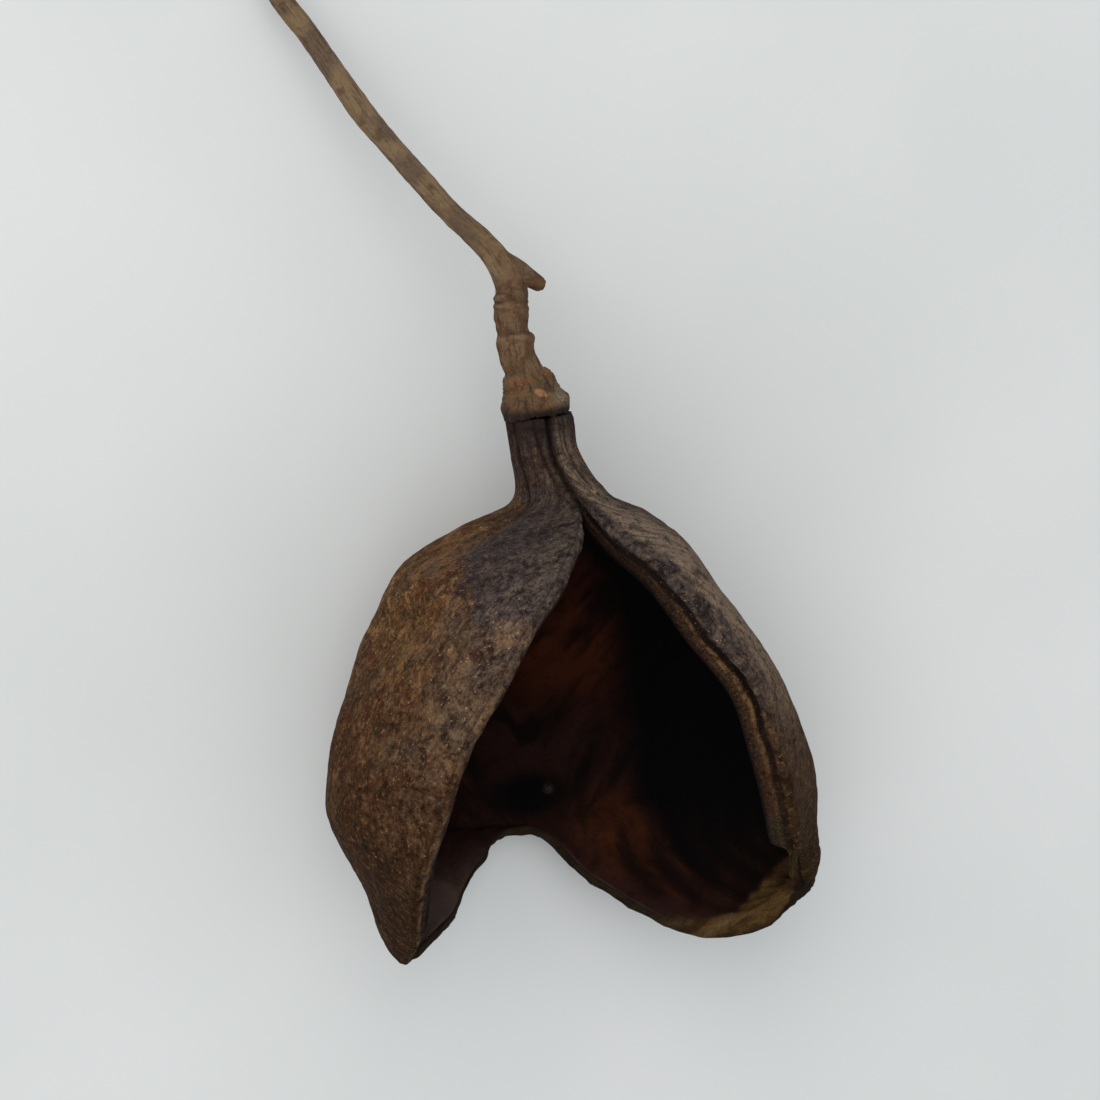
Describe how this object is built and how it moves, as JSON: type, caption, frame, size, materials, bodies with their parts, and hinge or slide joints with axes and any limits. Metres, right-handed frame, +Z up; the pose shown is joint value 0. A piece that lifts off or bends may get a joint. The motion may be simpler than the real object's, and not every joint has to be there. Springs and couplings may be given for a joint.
{
  "type": "seed pod",
  "caption": "Opened woody seed follicle, a boat-shaped husk split along one side with a hollow inside, on a bent twig stalk, lying on its back",
  "frame": {"origin": "centre of the bounding box, on the surface that the pod lies on", "axes": "+Y runs from the husk's tips to the twig's end, +Z is up out of the husk's opening, +X is across it"},
  "size_m": [0.0798, 0.1598, 0.0504],
  "materials": {
    "husk": "dry woody husk, brown and grey outside, dark reddish brown and smoother inside",
    "bark": "dry grey-brown bark, wrinkled and matte"
  },
  "bodies": {
    "root": {"pod": "husk", "stalk": "bark"}
  },
  "joints": []
}
